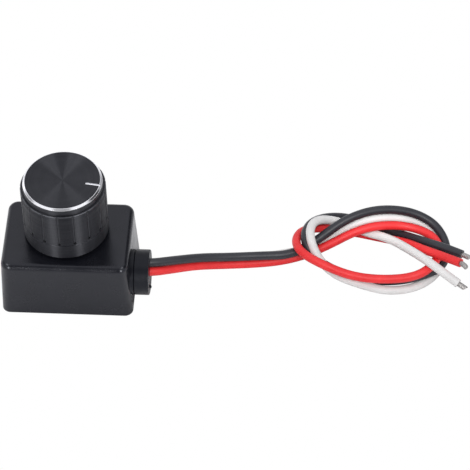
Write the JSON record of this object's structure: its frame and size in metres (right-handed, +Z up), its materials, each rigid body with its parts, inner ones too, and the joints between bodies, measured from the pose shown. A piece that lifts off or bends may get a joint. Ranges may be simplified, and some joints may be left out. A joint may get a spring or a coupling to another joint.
{
  "type": "led dimmer",
  "caption": "Small black box dimmer with a grooved turning knob on top and a bundle of black, red and white leads in a loose knot, ends stripped.",
  "frame": {"origin": "middle of the case's flat underside", "axes": "+X towards the side that the wires leave, +Y to the back, +Z up along the knob axis"},
  "size_m": [0.1106, 0.0322, 0.0332],
  "materials": {
    "case_plastic": "satin moulded, black",
    "gland_rubber": "matt, black",
    "knob_metal": "black anodised, turned, bright cut edge and pointer",
    "insert_plastic": "moulded",
    "plated_steel": "plated",
    "die_cast": "die-cast",
    "resin": "moulded",
    "phenolic": "laminated",
    "carbon": "printed",
    "contact": "spring sheet",
    "laminate": "lacquered",
    "chip_epoxy": "moulded",
    "capacitor_can": "drawn",
    "chip_resistor": "glazed",
    "chip_ceramic": "fired",
    "solder": "bright",
    "insulation_black": "extruded",
    "insulation_red": "extruded",
    "insulation_white": "extruded",
    "tinned": "tinned strands"
  },
  "bodies": {
    "case": {"case_shell": "case_plastic", "base_plate": "case_plastic", "cable_gland": "gland_rubber", "wire_black": "insulation_black", "wire_red": "insulation_red", "wire_white": "insulation_white", "tip_black": "tinned", "tip_red": "tinned", "tip_white": "tinned", "lead_ends_inside": "tinned", "pot_frame": "die_cast", "pot_housing": "resin", "pot_wafer": "phenolic", "pot_track": "carbon", "pot_terminals": "contact", "lock_washer": "plated_steel", "hex_nut": "plated_steel", "circuit_board": "laminate", "power_transistor": "chip_epoxy", "timer_chip": "chip_epoxy", "voltage_regulator": "chip_epoxy", "clamp_diode": "chip_epoxy", "input_capacitor": "capacitor_can", "chip_resistors": "chip_resistor", "chip_capacitors": "chip_ceramic", "solder_joints": "solder"},
    "knob": {"knob_cap": "knob_metal", "knob_insert": "insert_plastic", "pot_shaft": "plated_steel", "pot_rotor": "resin", "pot_wiper": "contact"}
  },
  "joints": [
    {"name": "knob_turn", "type": "hinge", "parent": "case", "child": "knob", "pos_m": [-0.00033, 0.00175, 0.0245], "axis": [0, 0, 1], "range_deg": [-55, 245]}
  ]
}
